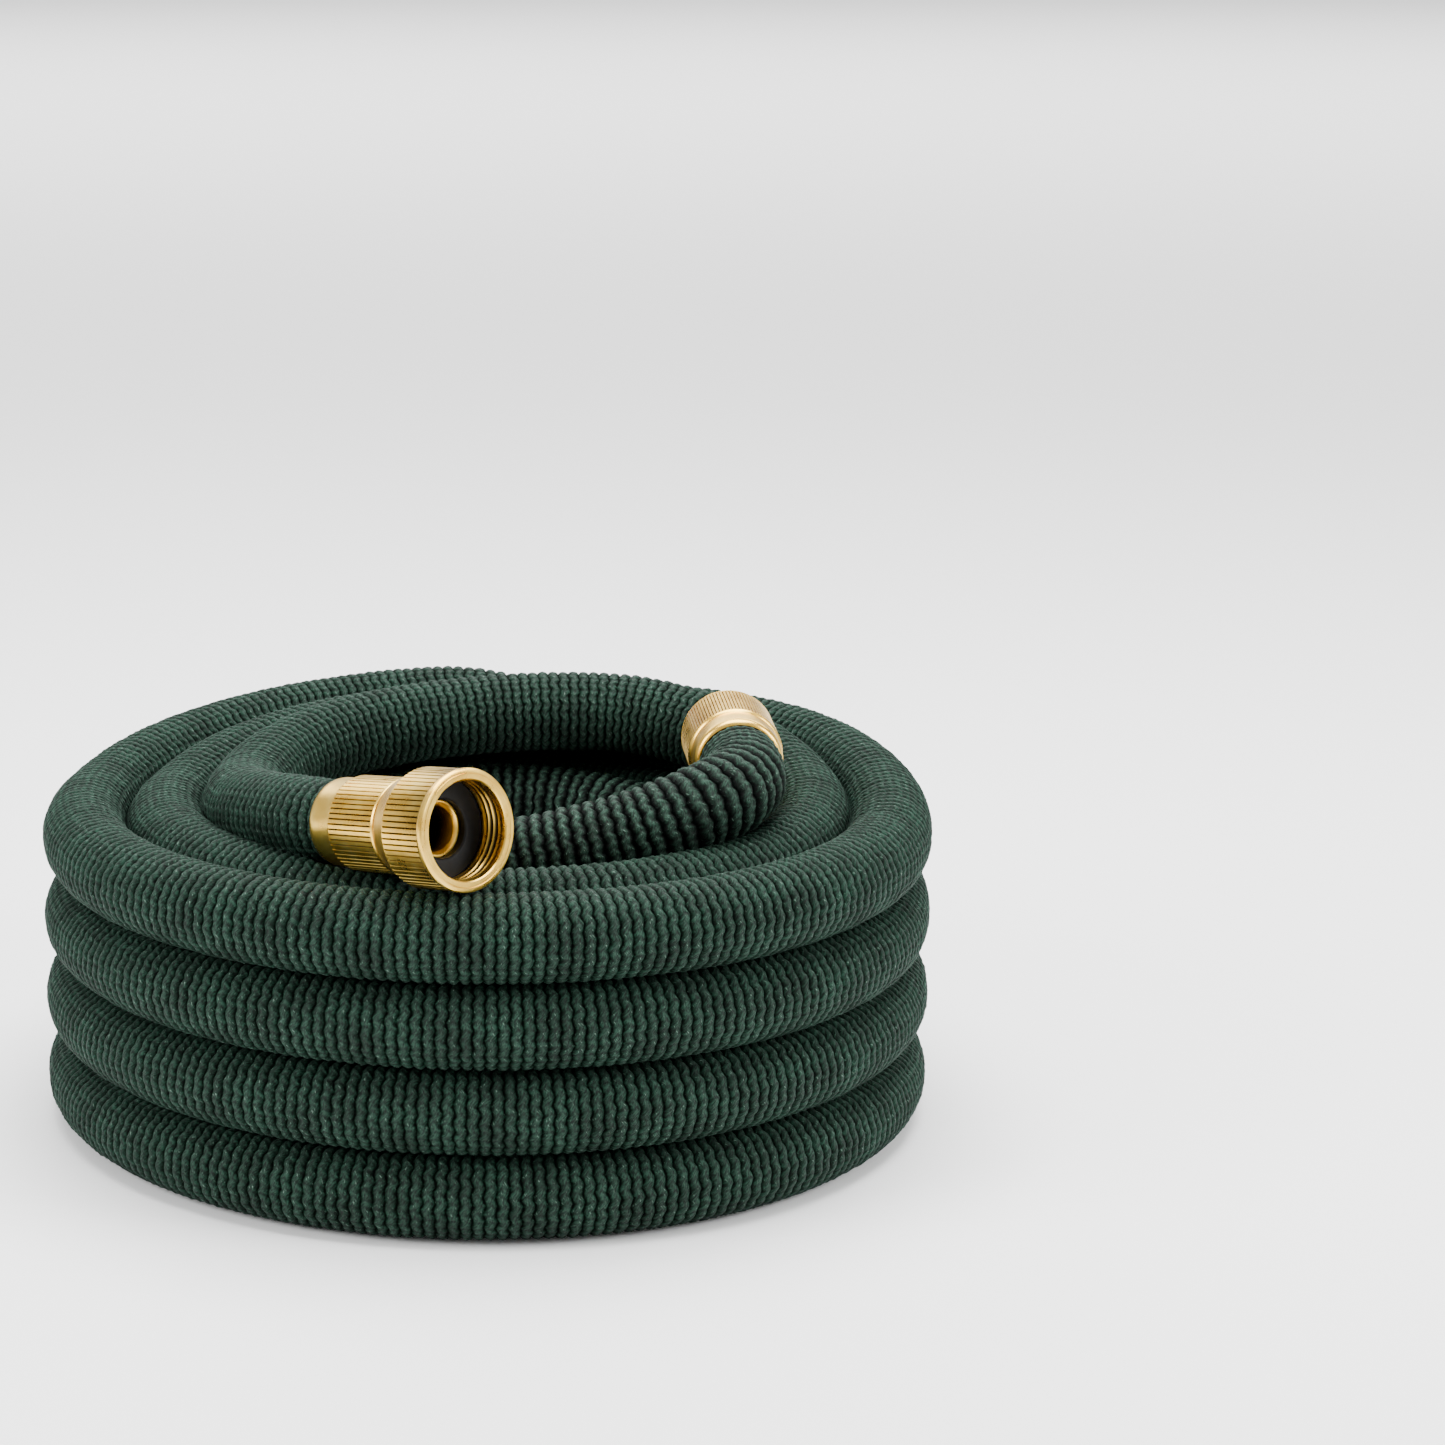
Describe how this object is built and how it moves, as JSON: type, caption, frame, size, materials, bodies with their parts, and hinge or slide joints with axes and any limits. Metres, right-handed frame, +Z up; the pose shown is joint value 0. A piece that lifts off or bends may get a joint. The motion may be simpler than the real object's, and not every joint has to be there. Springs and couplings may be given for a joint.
{
  "type": "coiled garden hose with brass couplings",
  "caption": "Fabric-covered garden hose wound in a round coil, with a brass swivel inlet coupling and a brass threaded outlet.",
  "frame": {"origin": "on the floor under the middle of the coil, at the centre of the bounding box's bottom", "axes": "+Z up along the coil's axis, the shortest extent; the inlet coupling lies on the -Y side"},
  "size_m": [0.2432, 0.2432, 0.1208],
  "materials": {
    "hose_fabric": "matte",
    "brass": "satin",
    "washer_rubber": "matte"
  },
  "bodies": {
    "hose": {"hose_coil": "hose_fabric", "hose_inlet_stretch": "hose_fabric", "hose_outlet_stretch": "hose_fabric", "inlet_sleeve": "brass", "inlet_tailpiece": "brass", "outlet_sleeve": "brass", "outlet_threaded_end": "brass"},
    "inlet_nut": {"swivel_nut": "brass", "sealing_washer": "washer_rubber"}
  },
  "joints": [
    {"name": "nut_swivel", "type": "hinge", "parent": "hose", "child": "inlet_nut", "pos_m": [-0.01956, -0.09289, 0.10228], "axis": [0.6649, -0.7319, 0.149], "continuous": true}
  ]
}
